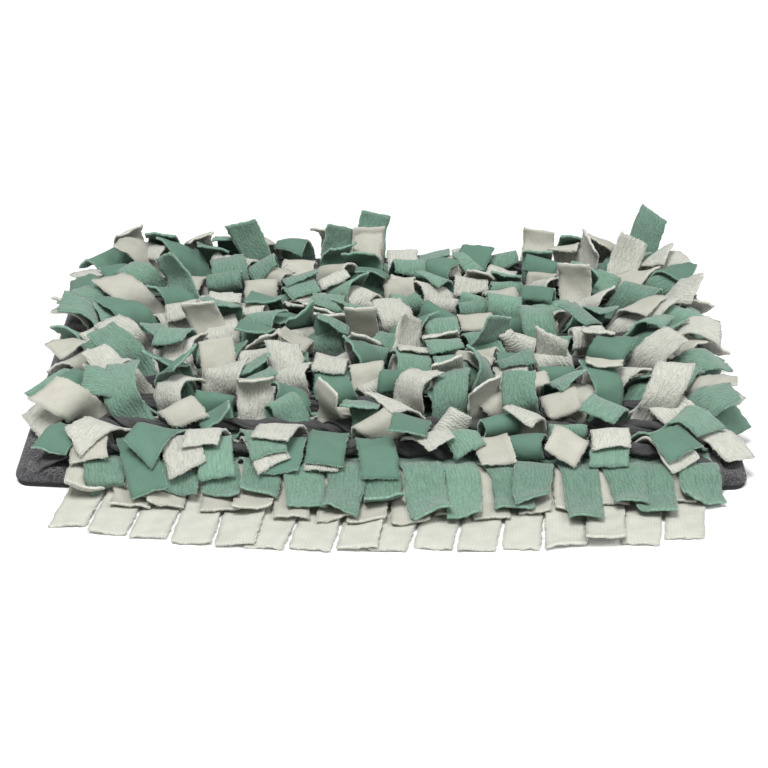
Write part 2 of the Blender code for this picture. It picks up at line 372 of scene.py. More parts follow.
def smooth_fleece(name, colour):
    """The flat face of fleece: a fine knit with little nap."""

    def make(start):
        place = cloth_place(start)
        across = start.node("ShaderNodeSeparateXYZ", None, {"Vector": place})
        knit = place.scaled((900, 260, 1)).speckle(1.0, 1.0, 0.5)
        clouds = place.speckle(60, 3.0, 0.6)
        # Painted shade: the ribs darken the colour a little between the knit's ribs
        ribs = (across * RIBS + clouds * 3).sine() * 0.05
        shade = clouds.ramp(0.25, 0.75) * 0.25 + knit * 0.2 + ribs + tone(start) * 0.35
        return {
            "Base Color": shade.blend(tinted(colour, 0.80), tinted(colour, 1.28)),
            "Normal": bumped(start, knit * 0.5 + clouds * 0.8, 0.0007),
        }

    return finished(name, {"Roughness": 0.9, "Sheen Weight": 0.15, "Sheen Roughness": 0.5}, make)


def cut_edge(name, colour, lighter):
    """The cut edge of a tab, painted lighter than its faces: a painted highlight where loose fibres catch the light."""

    def make(start):
        fibres = cloth_place(start).speckle(700, 2.0, 0.6)
        return {
            "Base Color": fibres.ramp(0.35, 0.65).blend(colour, tinted(colour, lighter)),
            "Normal": bumped(start, fibres, 0.001),
        }

    return finished(name, {"Roughness": 1.0, "Sheen Weight": 0.5, "Sheen Roughness": 0.6}, make)


def plush(name, colour):
    """Short upright pile, brushed this way and that into small whorls."""

    def make(start):
        place = start.node("ShaderNodeTexCoord", None, None, "Object")
        pile = place.speckle(1100, 2.0, 0.6)
        whorls = place.speckle(170, 1.0, 0.5, 2.6).ramp(0.42, 0.60)
        brushed = place.speckle(30, 3.0, 0.6)
        # Painted sheen: the whorls and brushed patches are painted lighter and darker, as the pile catches the light
        shade = whorls * 0.55 + brushed.ramp(0.3, 0.7) * 0.25 + pile * 0.2
        return {
            "Base Color": shade.blend(tinted(colour, 0.45), tinted(colour, 1.75)),
            "Normal": bumped(start, whorls * 0.8 + pile * 0.3 + brushed * 0.6, 0.0045),
        }

    return finished(name, {"Roughness": 0.95, "Sheen Weight": 0.3, "Sheen Roughness": 0.45}, make)


def base_and_shade(name, colour):
    """The cloth round the pad's foot and under it, painted near black: partly its own dark colour, partly painted shade
    under the plush's rounded edge.
    """

    def make(start):
        place = start.node("ShaderNodeTexCoord", None, None, "Object")
        threads = place.speckle(1400, 1.0, 0.5)
        return {
            "Base Color": threads.blend(tinted(colour, 0.22), tinted(colour, 0.42)),
            "Normal": bumped(start, threads, 0.0005),
        }

    return finished(name, {"Roughness": 0.8}, make)


# ---------------------------------------------------------------- layout


def row_place(row):
    return FIRST_ROW + row * PITCH


def slot_centre(slot, row, sizes):
    shift = FRONT_SHIFT * max(0.0, 1 - row / SHIFTED_ROWS)
    return shift + (slot - (SLOTS - 1) / 2) * sizes.slot_pitch


def across_row(slot):
    """Where a slot lies in its row, from -1 at the left end to 1 at the right end."""
    return 2 * slot / (SLOTS - 1) - 1


def left_or_right(slot):
    return -1 if across_row(slot) < 0 else 1


def front_edge(x):
    """The pad's front edge, which swells out in the middle."""
    straight = -PAD_HIGH.y
    swell = straight - PAD_LOW.y
    return straight - swell * (1 - (x / PAD_HIGH.x) ** 2)


class Tab:
    """One tab of fleece: where it is sewn on, and rows of points from its root to its tip."""

    def __init__(self, row, side, slot, cloth, sizes):
        self.row = row
        self.side = side
        self.slot = slot
        self.cloth = cloth
        half = GREEN_SPINE if cloth == "green" else CREAM_SPINE
        layer = {"fringe": 0, "cream": 1, "green": 2}[cloth] - (0 if row == 0 else 1)
        self.level = SEAM_LEVEL + layer * CAD_LAYER + sizes.fleece / 2
        self.root = Vector((slot_centre(slot, row, sizes), row_place(row) + side * half, self.level))
        self.points = []
        self.start = []
        self.length = 0.0
        self.tone = 0.5
        self.turned_over = False


def is_cream(row, side, slot):
    """Cream and green take every other slot, turn about on a row's two sides and behind the first row."""
    odd_first = row % 2
    first = odd_first if side == FRONT or row == 0 else 1 - odd_first
    return slot % 2 == first


def turned_about(first, second, angle):
    """Two directions at right angles, the first turned towards the second by an angle."""
    cos = math.cos(angle)
    sin = math.sin(angle)
    return first * cos + second * sin, second * cos - first * sin


def free_tab(tab, sizes, rng):
    """Shape a tab that stands up from its strip and bends over, alone and out of reach of others."""
    width = sizes.tab_width * (1 + WIDTH_VARIES * rng.gauss(0, 1))
    length = sizes.tab_length * (1 + LENGTH_VARIES * rng.gauss(0, 1))
    skew = rng.gauss(0, SKEW)
    cup = rng.gauss(0, CUP)
    yaw = rng.gauss(0, YAW)
    slant = rng.gauss(0, SLANT)
    lean = rng.gauss(*LEAN[tab.side])
    _, bends, twists = rng.choices(WAYS, [way[0] for way in WAYS])[0]
    bend = rng.gauss(*bends)
    twist = rng.gauss(*twists)
    if tab.row == ROWS - 1:
        bend = -abs(bend)
    tab.tone = max(0.0, min(1.0, rng.gauss(0.5, 0.25)))
    fuzzy = TURNED_OVER
    for row, side, cloths, first, last, lies_lean, lies_bend, longer, lies_fuzzy, wild in LIES:
        if (tab.row, tab.side) == (row, side) and first <= tab.slot <= last and tab.cloth in cloths:
            lean = lies_lean + rng.gauss(0, 6)
            length *= 1 + longer
            bend = lies_bend * (1 + 0.12 * rng.gauss(0, 1))
            twist = rng.gauss(0, 10 * wild)
            yaw *= 0.6 * wild
            cup *= 0.5 * wild
            fuzzy = lies_fuzzy
    from_end = min(tab.slot, SLOTS - 1 - tab.slot)
    if from_end < len(END_TURNS):
        turned = END_TURNS[from_end] * ROW_TURNS.get(tab.row, 1.0)
        sense = -left_or_right(tab.slot) * tab.side
        twist = twist * (1 - turned) + turned * sense * END_TWIST
        yaw = yaw * (1 - 0.5 * turned) + turned * sense * END_YAW
        bend = bend * (1 - turned) + turned * tab.side * (END_BEND + rng.gauss(0, 14))
        slant = slant * (1 - turned) + turned * left_or_right(tab.slot) * END_SLANT
        length *= 1 + END_LONGER * turned * (1 - 0.7 * tab.row / (ROWS - 1))
    for x, y, radius, shorter in LOW_PLACES:
        away = math.hypot(tab.root.x - x, tab.root.y - y) / radius
        length *= 1 - shorter * math.exp(-(away**2))
    cup = math.radians(max(-100, min(100, cup)))
    bend = math.radians(bend)
    twist = math.radians(twist)
    segments = sizes.segments
    fold = rng.gauss(*FOLD)
    weights = [0.0]
    for i in range(1, segments):
        near = math.exp(-(((i / segments - fold) / FOLD_SPREAD) ** 2))
        weights.append((near + 0.08) * (1 + 0.3 * rng.gauss(0, 1)))
    total = sum(weights)
    step = length / segments
    here = Vector()
    spring = math.radians(SPRING * tab.side)
    sideways = Matrix.Rotation(math.radians(slant), 3, "Y")
    along = sideways @ Vector((0.0, math.sin(spring), math.cos(spring)))
    across = sideways @ Vector((1.0, 0.0, 0.0))
    face = along.cross(across).normalized()
    rows = []
    for i in range(segments + 1):
        share = i / segments
        cupped = cup * share**0.8
        row_points = []
        for j in range(sizes.columns):
            u = (j / (sizes.columns - 1) - 0.5) * width
            if abs(cupped) > 0.01:
                radius = width / cupped
                side_step = radius * math.sin(u / radius)
                rise = radius * (1 - math.cos(u / radius))
            else:
                side_step = u
                rise = 0.0
            cut = skew * 2 * u / width * share**3
            point = here + across * side_step + face * rise + along * cut
            turn = Matrix.Rotation(math.radians(yaw) * min(1.0, i / 2), 3, "Z")
            row_points.append(turn @ point)
        rows.append(row_points)
        if i < segments:
            here = here + along * step
            if i == 0:
                along, face = turned_about(along, face, math.radians(lean) - spring)
            along, face = turned_about(along, face, bend * weights[i] / total)
            across, face = turned_about(across, face, twist * (0.0 if i < 1 else 1.5 if i < 4 else 0.6) / (segments - 2))
    for j in range(sizes.columns):
        rows[0][j] = Vector(((j / (sizes.columns - 1) - 0.5) * sizes.tab_width, 0.0, 0.0))
    outside_up = bend * tab.side < 0
    tab.turned_over = (rng.random() < fuzzy) == outside_up
    tab.length = length
    lowest = PAD_HIGH.z - tab.root.z + 0.0005
    rows = [[Vector((point.x, point.y, max(point.z, lowest))) for point in row] for row in rows]
    tab.points = [[point + tab.root for point in row] for row in rows]
    apart = Vector((tab.root.x * APART_X, tab.root.y + apart_y(tab.row, tab.side), tab.root.z))
    tab.start = [[point + apart for point in row] for row in rows]


def apart_y(row, side):
    """How far behind its place a line of tabs starts."""
    line = 0 if row == 0 else 2 * row + (side == BACK)
    return line * APART_Y - row * PITCH


def along_path(path, count):
    """count + 1 points at equal steps along a rounded polyline, and its length."""
    for _ in range(3):
        rounded = [path[0]]
        for near, far in zip(path, path[1:]):
            rounded.append(near.lerp(far, 0.25))
            rounded.append(near.lerp(far, 0.75))
        rounded.append(path[-1])
        path = rounded
    steps = [(far - near).length for near, far in zip(path, path[1:])]
    length = sum(steps)
    points = []
    for i in range(count + 1):
        left = length * i / count
        k = 0
        while k < len(steps) - 1 and left > steps[k]:
            left -= steps[k]
            k += 1
        points.append(path[k].lerp(path[k + 1], min(1.0, left / steps[k])))
    return points, length


def draped_tab(tab, sizes, rng):
    """Shape a front tab that lies over the pad's edge, in the layer of its cloth."""
    layer, width, reaches, asides, segments, strays, curls = DRAPES[tab.cloth]
    end = across_row(tab.slot)
    half = left_or_right(tab.slot)
    edge = front_edge(tab.root.x)
    strays *= 1.0 if half < 0 else DRAPE_WILDER
    aside = asides[0] + (asides[1] - asides[0]) * (end + 1) / 2 + strays * rng.gauss(0, 1)
    reach = reaches[0 if half < 0 else 1] + strays * rng.gauss(0, 1)
    reach -= DRAPE_SHORTFALL[half] * end**2
    out = layer * DRAPE_LAYER
    brow = PAD_HIGH.z + DRAPE_LIFT + 0.00125 + out
    floor = 0.00125 + out
    swings = (0.8, 0.95) if layer else (0.1, 0.4)
    path = [
        Vector((0.0, tab.root.y, tab.root.z)),
        Vector((swings[0] * aside, edge + DRAPE_BROW - out, brow)),
        Vector((swings[1] * aside, edge - DRAPE_LANDING - out, floor)),
        Vector((aside, edge - reach, floor)),
    ]
    centres, length = along_path(path, segments)
    curl = math.radians(max(curls[0] - curls[1], rng.gauss(*curls)))
    twist = math.radians(rng.gauss(0, ((1, 3, 4) if half < 0 else (1, 4, 15))[layer]))
    width *= (1.06 if half > 0 and layer == 2 else 1.0) + WIDTH_VARIES * rng.gauss(0, 1)
    narrower = rng.uniform(0.0, (0.02 if half < 0 else 0.12) * layer)
    skew = rng.gauss(0, SKEW * (0.3 + (0.2 if half < 0 else 0.5) * layer))
    cup = rng.gauss(0, 0.0014 * layer)
    wave = rng.uniform(0, math.tau)
    # Painted light and shade in the draped tabs' lightness: the fringe on the floor is painted light, the green tabs
    # over the edge painted dark
    tab.tone = max(0.0, min(1.0, rng.gauss((0.95, 0.5, 0.08)[layer], 0.2 if layer else 0.05)))
    tab.turned_over = layer < 2
    rows = []
    here = centres[0]
    for i, centre in enumerate(centres):
        share = i / segments
        if i:
            along = (centre - centres[i - 1]).normalized()
            face = Vector((1.0, 0.0, 0.0)).cross(along)
            curled = curl * max(0.0, (share - 0.6) / 0.4) ** 1.5
            along, face = turned_about(along, -face, curled)
            face = -face
            here = here + along * (centre - centres[i - 1]).length
        row_points = []
        for j in range(sizes.columns):
            u = (j / (sizes.columns - 1) - 0.5) * sizes.tab_width
            if i == 0:
                row_points.append(here + Vector((tab.root.x + u, 0.0, 0.0)))
                continue
            u *= width / sizes.tab_width * (1 - narrower * share)
            side = 2 * u / width
            ruffle = 0.0011 * layer * share * math.sin(wave + 2.6 * side + 5 * share)
            lift = cup * share * side**2 * (1 if cup > 0 else 0.6) + ruffle
            across, up = turned_about(Vector((1.0, 0.0, 0.0)), face, twist * share)
            point = here + across * u - up * lift + along * skew * side * share**3
            row_points.append(point + Vector((tab.root.x, 0.0, 0.0)))
        rows.append(row_points)
    tab.length = length
    tab.points = rows
    spread = Vector((tab.root.x * (APART_X - 1), 0.0, 0.0))
    tab.start = [[point + spread for point in row] for row in rows]


def cut_tabs(sizes):
    """Every tab of the mat, shaped but not settled."""
    rng = random.Random(SEED)
    tabs = []
    for slot in range(SLOTS):
        for cloth in DRAPES:
            tab = Tab(0, FRONT, slot, cloth, sizes)
            draped_tab(tab, sizes, rng)
            tabs.append(tab)
    for row in range(ROWS):
        for side in (FRONT, BACK):
            if row == 0 and side == FRONT:
                continue
            for slot in range(SLOTS):
                cloth = "cream" if is_cream(row, side, slot) else "green"
                tab = Tab(row, side, slot, cloth, sizes)
                free_tab(tab, sizes, rng)
                tabs.append(tab)
    return tabs


# ---------------------------------------------------------------- settling


def collider(name, mesh, thickness=0.001):
    obj = bpy.data.objects.new(name, mesh)
    bpy.context.scene.collection.objects.link(obj)
    obj.modifiers.new("collision", "COLLISION")
    obj.collision.thickness_outer = thickness * GROW
    obj.collision.cloth_friction = 20
    return obj


def block(name, low, high):
    """A closed box mesh, grown for the settling."""
    bm = bmesh.new()
    bmesh.ops.create_cube(bm, size=1.0)
    for vert in bm.verts:
        for axis in range(3):
            vert.co[axis] = GROW * (low[axis] if vert.co[axis] < 0 else high[axis])
    mesh = bpy.data.meshes.new(name)
    bm.to_mesh(mesh)
    bm.free()
    return mesh


def merged_copy(node):
    """A grown copy of a CAD solid's mesh with its loose triangles joined."""
    bm = bmesh.new()
    bm.from_mesh(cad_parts[node].data)
    bmesh.ops.remove_doubles(bm, verts=bm.verts, dist=1e-6)
    bmesh.ops.scale(bm, vec=(GROW, GROW, GROW), verts=bm.verts)
    mesh = bpy.data.meshes.new(node + "_under")
    bm.to_mesh(mesh)
    bm.free()
    return mesh


def colliders():
    """The pad, the floor, the ropes, and a plate that holds the rows up while they are apart."""
    made = [
        collider("pad_under", merged_copy("pad")),
        collider("floor_under", block("floor_under", (-1, -1, -0.05), (1, 1.5, 0.0))),
    ]
    plate = collider("plate", block("plate", (-0.7, FIRST_ROW - 0.01, -0.02), (0.7, 1.2, PAD_HIGH.z - 0.0015)))
    plate.keyframe_insert("location", frame=GATHERED)
    plate.location.z = -PLATE_DROP * GROW
    plate.keyframe_insert("location", frame=GATHERED + 5)
    made.append(plate)
    for row, name in enumerate(ROPES):
        rope = collider(name + "_under", merged_copy(name), 0.003)
        rope.location.y = (apart_y(row, FRONT) + (APART_Y / 2 if row else 0.0)) * GROW
        rope.keyframe_insert("location", frame=1)
        rope.location.y = 0
        rope.keyframe_insert("location", frame=GATHERED)
        made.append(rope)
    return made


def held_back(place):
    """Keep what has settled behind the mat from lying too far back."""
    over = place.y - (BACK_LIMIT - BACK_GIVE)
    if over > 0:
        place.y = BACK_LIMIT - BACK_GIVE * math.exp(-over / BACK_GIVE)
    return place


def settle(tabs, sizes):
    """Gather the rows, let all tabs fall on each other, and read back where they lie."""
    start = []
    sewn = []
    faces = []
    pinned = []
    for tab in tabs:
        base = len(start)
        rows = len(tab.points)
        columns = sizes.columns
        start += [point * GROW for row in tab.start for point in row]
        sewn += [point * GROW for row in tab.points for point in row]
        pinned += range(base, base + 2 * columns)
        for i in range(rows - 1):
            for j in range(columns - 1):
                corner = base + i * columns + j
                faces.append((corner, corner + 1, corner + 1 + columns, corner + columns))
    mesh = bpy.data.meshes.new("tabs")
    mesh.from_pydata(start, [], faces)
    cloth = bpy.data.objects.new("tabs", mesh)
    bpy.context.scene.collection.objects.link(cloth)
    cloth.shape_key_add(name="Basis")
    key = cloth.shape_key_add(name="sewn")
    for vert, place in zip(key.data, sewn):
        vert.co = place
    key.value = 0.0
    key.keyframe_insert("value", frame=1)
    key.value = 1.0
    key.keyframe_insert("value", frame=GATHERED)
    cloth.vertex_groups.new(name="sewn_down").add(pinned, 1.0, "REPLACE")
    others = colliders()
    modifier = cloth.modifiers.new("cloth", "CLOTH")
    fleece = modifier.settings
    fleece.vertex_group_mass = "sewn_down"
    fleece.quality = 5
    fleece.mass = 0.3
    fleece.air_damping = 0.5
    fleece.tension_stiffness = 15
    fleece.compression_stiffness = 15
    fleece.shear_stiffness = 8
    fleece.bending_stiffness = 40
    fleece.pin_stiffness = 10
    fleece.effector_weights.gravity = 0.0
    fleece.effector_weights.keyframe_insert("gravity", frame=GATHERED)
    fleece.effector_weights.gravity = 1.0
    fleece.effector_weights.keyframe_insert("gravity", frame=GATHERED + 4)
    touch = modifier.collision_settings
    touch.distance_min = 0.0015 * GROW
    touch.use_self_collision = True
    touch.self_distance_min = 0.0020 * GROW
    modifier.point_cache.frame_start = 1
    modifier.point_cache.frame_end = SETTLED
    scene = bpy.context.scene
    for moment in range(1, SETTLED + 1):
        scene.frame_set(moment)
    settled = cloth.evaluated_get(bpy.context.evaluated_depsgraph_get()).to_mesh()
    places = [held_back(vert.co / GROW) for vert in settled.vertices]
    at = 0
    for tab in tabs:
        for row in tab.points:
            for j in range(sizes.columns):
                row[j] = places[at]
                at += 1
    for obj in [cloth, *others]:
        bpy.data.objects.remove(obj, do_unlink=True)
    scene.frame_set(1)


# ---------------------------------------------------------------- pieces


def new_piece(name, bm, materials):
    mesh = bpy.data.meshes.new(name)
    bm.to_mesh(mesh)
    bm.free()
    for material in materials:
        mesh.materials.append(material)
    obj = bpy.data.objects.new(name, mesh)
    bpy.context.scene.collection.objects.link(obj)
    return obj


def apply_modifiers(obj):
    bpy.ops.object.select_all(action="DESELECT")
    bpy.context.view_layer.objects.active = obj
    obj.select_set(True)
    for modifier in list(obj.modifiers):
        bpy.ops.object.modifier_apply(modifier=modifier.name)
    bpy.ops.object.shade_smooth()
    obj.select_set(False)


def loosen_edges(obj, thickness, rng):
    """Make the cut edges of a sheet a little uneven, and return loose fibres that stand out of them."""
    bm = bmesh.new()
    bm.from_mesh(obj.data)
    bm.normal_update()
    for vert in bm.verts:
        ruffle = RUFFLE * noise.noise(vert.co * 60)
        if vert.is_boundary:
            vert.co += vert.normal * ruffle * 1.3 + UNEVEN * noise.noise_vector(vert.co * 190)
        else:
            vert.co += vert.normal * ruffle
        vert.co.z = max(vert.co.z, thickness / 2 + 0.0002)
    place = bm.loops.layers.uv["cloth"]
    fibres = []
    for edge in bm.edges:
        if not edge.is_boundary or edge.calc_length() < 0.001:
            continue
        near, far = (vert.co for vert in edge.verts)
        face = edge.link_faces[0]
        along = (far - near).normalized()
        out = (near + far) / 2 - face.calc_center_median()
        out = (out - along * out.dot(along)).normalized()
        uv = edge.link_loops[0][place].uv.copy()
        for _ in range(max(1, round(edge.calc_length() / FIBRE_EVERY))):
            root = near.lerp(far, rng.random()) + face.normal * rng.uniform(-0.45, 0.45) * thickness
            way = out + along * rng.gauss(0, 0.45) + face.normal * rng.gauss(0, 0.4)
            tip = root + way.normalized() * rng.uniform(*FIBRE)
            tip.z = max(tip.z, 0.0001)
            root = root - out * 0.0003
            fibres.append((root - along * 0.00026, root + along * 0.00026, tip, uv))
    bm.to_mesh(obj.data)
    bm.free()
    return fibres


def add_fibres(obj, fibres, material_index):
    bm = bmesh.new()
    bm.from_mesh(obj.data)
    place = bm.loops.layers.uv["cloth"]
    for first, second, tip, uv in fibres:
        made = bm.faces.new([bm.verts.new(point) for point in (first, second, tip)])
        made.material_index = material_index
        for loop in made.loops:
            loop[place].uv = uv
    bm.to_mesh(obj.data)
    bm.free()


def thicken(obj, thickness, levels, rng=None):
    """Round the sheet and give it its thickness, with its second face and its cut edge."""
    fibres = []
    if levels:
        soft = obj.modifiers.new("soft", "SUBSURF")
        soft.levels = levels
        soft.render_levels = levels
        soft.boundary_smooth = "PRESERVE_CORNERS"
        apply_modifiers(obj)
        fibres = loosen_edges(obj, thickness, rng)
    wall = obj.modifiers.new("wall", "SOLIDIFY")
    wall.thickness = thickness
    wall.offset = 0.0
    wall.material_offset = 1
    wall.material_offset_rim = 3
    apply_modifiers(obj)
    if fibres:
        add_fibres(obj, fibres, 3)


def attach(obj, slot, *nodes):
    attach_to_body(obj, "root")
    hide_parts(*nodes)


def comb_mesh(tabs, row, half, level, sizes):
    """The strip with its tabs: a band of quads, and a grid of quads for each tab."""
    bm = bmesh.new()
    place = bm.loops.layers.uv.new("cloth")
    shade = bm.faces.layers.float.new("tone")
    middle = row_place(row)
    columns = sizes.columns
    rims = {}
    for line, y in ((FRONT, middle - half), (0, middle), (BACK, middle + half)):
        rims[line] = []
        for slot in range(SLOTS):
            centre = slot_centre(slot, row, sizes)
            for j in range(columns):
                u = (j / (columns - 1) - 0.5) * sizes.tab_width
                rims[line].append(bm.verts.new((centre + u, y, level)))

    def face(verts, places, tone_and_light_value, turned_over=False):
        made = bm.faces.new(verts)
        made[shade] = tone_and_light_value
        made.material_index = int(turned_over)
        made.smooth = True
        for loop, uv in zip(made.loops, places):
            loop[place].uv = uv

    for near, far in ((FRONT, 0), (0, BACK)):
        for i in range(len(rims[near]) - 1):
            verts = (rims[near][i], rims[near][i + 1], rims[far][i + 1], rims[far][i])
            face(verts, [(vert.co.x, vert.co.y) for vert in verts], 0.5)
    for tab in tabs:
        first = tab.slot * columns
        grid = [rims[tab.side][first : first + columns]]
        for points in tab.points[1:]:
            grid.append([bm.verts.new(point) for point in points])
        step = tab.length / (len(grid) - 1)
        offset = (0.11 * tab.slot + 0.37 * tab.side, 0.23 * row)
        for i in range(len(grid) - 1):
            for j in range(columns - 1):
                spots = [(i + 1, j), (i + 1, j + 1), (i, j + 1), (i, j)]
                if tab.side == BACK:
                    spots = [(i, j), (i, j + 1), (i + 1, j + 1), (i + 1, j)]
                across = sizes.tab_width / (columns - 1)
                places = [(offset[0] + b * across, offset[1] + a * step) for a, b in spots]
                face([grid[a][b] for a, b in spots], places, tab.tone, tab.turned_over)
    return bm


def comb(name, cloth, row, tabs, sizes, materials, slot):
    mine = [tab for tab in tabs if tab.row == row and tab.cloth == cloth]
    half = GREEN_SPINE if cloth == "green" else CREAM_SPINE
    bm = comb_mesh(mine, row, half, mine[0].level, sizes)
    obj = new_piece(name + "_cloth", bm, materials)
    thicken(obj, sizes.fleece, 1, random.Random(SEED + row))
    attach(obj, slot, name)
    strip = (slot_centre(SLOTS - 1, row, sizes) - slot_centre(0, row, sizes) + sizes.tab_width, 2 * half)
    reach = {FRONT: 0.0, BACK: 0.0}
    for tab in mine:
        reach[tab.side] = max(reach[tab.side], tab.length)
    area = strip[0] * strip[1] + sum(tab.length * sizes.tab_width for tab in mine)
    flat = (strip[0], strip[1] + reach[FRONT] + reach[BACK])
    return obj


def fleece_set(name, colour, depth, lighter, plain):
    """Materials of a sheet: a face, its other face, the same turned over, and its cut edges."""
    brushed = brushed_fleece(name + "_brushed", tinted(colour, 1.08), depth)
    smooth = smooth_fleece(name + "_smooth", plain)
    edge = cut_edge(name + "_edge", tinted(colour, 1.15), lighter)
    return [brushed, smooth, brushed, edge, edge]


def wander(x, row, scale, channel):
    """A smooth value between about -1 and 1 that strays along a rope."""
    return 2 * noise.noise(Vector((x * scale, 7.3 * row + 0.37, 3.1 * channel + 0.11)))


def rope_end(row, x):
    """How far a rope has come open at x, from 0 to 1 at its very end, and how wide and how far forward."""
    low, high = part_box(ROPES[row])
    length, power, width, forward = FIRST_ROPE_OPENS[-1 if x < 0 else 1] if row == 0 else ROPE_OPENS
    return max(0.0, 1 - min(x - low.x, high.x - x) / length) ** power, width, forward


def rope_section(row, x, points_across):
    """One section of a rope: a strip rolled up and twisted, and pinched where it is sewn down."""
    low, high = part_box(ROPES[row])
    opened, flap, forward = rope_end(row, x)
    lift = CAD_LAYER if row == 0 else 0.0
    centre_y = (low.y + high.y) / 2 + 0.0036 * wander(x, row, 14, 1)
    centre_z = ROPE_LOW.z + 0.0068 + lift + 0.0012 * wander(x, row, 21, 2)
    twist = math.tau * (x / 0.085 + 0.31 * row) + 3.4 * wander(x, row, 9, 3)
    stitch = 1 - 0.16 * math.exp(-((((x / 0.031 + 0.37 * row) % 1) - 0.5) / 0.13) ** 2)
    fuller = 1.10 + 0.24 * wander(x, row, 19, 4)
    pad = PAD_HIGH.z + 0.0009
    lowest = pad * opened + (ROPE_LOW.z - 0.0008 + lift) * (1 - opened)
    centre_z = (pad + 0.0040) * opened + centre_z * (1 - opened)
    section = []
    for j in range(points_across):
        u = j / (points_across - 1)
        angle = math.sqrt(0.06 + 0.94 * u) * ROPE_TURNS * math.tau
        lobes = 1 + 0.34 * math.cos(2 * angle + 1.7 * row + 1.4 * wander(x, row, 30, 5))
        lobes += 0.13 * math.cos(3 * angle + 0.9 * row + 2.0 * wander(x, row, 44, 6))
        pleat = 1 + 0.34 * noise.noise(Vector((x * 70, 2.4 * math.cos(angle), 2.4 * math.sin(angle) + row)))
        radius = (0.0013 + 0.0037 * angle / math.tau) * lobes * pleat * stitch * fuller
        spin = angle + twist
        rolled_y = 1.10 * radius * math.cos(spin)
        rolled_z = 0.84 * radius * math.sin(spin)
        flat_y = (u - 0.5) * flap - forward
        crumple = 0.0016 * noise.noise(Vector((x * 90, flat_y * 120, row)))
        flat_z = -0.0030 + crumple + 0.0035 * math.sin(3 * math.pi * u + row) * (1 - opened)
        y = rolled_y * (1 - opened) + flat_y * opened
        z = rolled_z * (1 - opened) + flat_z * opened
        past = max(0.0, front_edge(x) + 0.004 - centre_y - y)
        hang = 0.95 * past + 0.0010 * past / (past + 0.004)
        section.append(Vector((x, centre_y + y, max(0.0012, max(lowest, centre_z + z) - hang))))
    return section


def rope(row, sizes, material):
    """A strip of fleece rolled up along its length, twisted and sewn down, and open at its ends."""
    name = ROPES[row]
    low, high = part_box(name)
    bm = bmesh.new()
    place = bm.loops.layers.uv.new("cloth")
    shade = bm.faces.layers.float.new("tone")
    stations = 220
    points_across = 30
    length = high.x - low.x
    grid = []
    for i in range(stations + 1):
        section = rope_section(row, low.x + length * i / stations, points_across)
        grid.append([bm.verts.new(point) for point in section])
    for i in range(stations):
        opened = rope_end(row, low.x + length * i / stations)[0]
        # Painted shade along the twist, where the rope lies between the tabs, and painted light where it lies open at
        # its ends
        painted_light_here = ROPE_PAINTED_LIGHT[0] + (ROPE_PAINTED_LIGHT[1] - ROPE_PAINTED_LIGHT[0]) * opened
        for j in range(points_across - 1):
            made = bm.faces.new((grid[i][j], grid[i][j + 1], grid[i + 1][j + 1], grid[i + 1][j]))
            made[shade] = painted_light_here
            made.smooth = True
            spots = ((i, j), (i, j + 1), (i + 1, j + 1), (i + 1, j))
            for loop, (a, b) in zip(made.loops, spots):
                loop[place].uv = (b / (points_across - 1) * sizes.rope_strip, a * length / stations + row)
    obj = new_piece(name + "_roll", bm, [material] * 4)
    thicken(obj, 0.0013, 0)
    attach(obj, "charcoal_fleece", name)
    return obj


def half_length(y):
    """Half the pad's length at y, shorter where the corners round off."""
    into = abs(y) - (PAD_HIGH.y - PAD_CORNER)
    if into <= 0:
        return PAD_HIGH.x
    return PAD_HIGH.x - PAD_CORNER + math.sqrt(max(0.0, PAD_CORNER**2 - into**2))


def inside_edge(x, y):
    """How far inside the pad's rounded outline a point lies."""
    dx = abs(x) - (PAD_HIGH.x - PAD_CORNER)
    dy = abs(y) - (PAD_HIGH.y - PAD_CORNER)
    outside = math.hypot(max(dx, 0.0), max(dy, 0.0))
    return max(0.0, PAD_CORNER - outside - min(max(dx, dy), 0.0))


def spaced(half, count, dense):
    """Places from -half to half, closer together near the ends."""
    places = []
    for i in range(count + 1):
        share = 2 * i / count - 1
        places.append(half * math.copysign(1 - (1 - abs(share)) ** dense, share))
    return places


def pad_top(x, y):
    """Height of the plush: rounded at the edge, drawn down along each row, lightly puckered."""
    inside = inside_edge(x, y)
    share = min(1.0, inside / PAD_ROUND)
    rise = math.sqrt(max(0.0, 1 - (1 - share) ** 2))
    nearest = max(0, min(ROWS - 1, round((y - FIRST_ROW) / PITCH)))
    along_row = max(0.0, min(1.0, (PAD_HIGH.x - 0.012 - abs(x)) / 0.03))
    dip = 0.0020 * along_row * math.exp(-((abs(y - row_place(nearest)) / 0.011) ** 4))
    near_seam = math.exp(-(((abs(x) - 0.320) / 0.02) ** 2))
    pucker = (0.0004 + 0.0013 * near_seam) * noise.noise(Vector((x * 30, y * 150, 1.0)))
    return PAD_SEAM + (PAD_HIGH.z - PAD_SEAM - dip - 0.0005) * rise + pucker * share


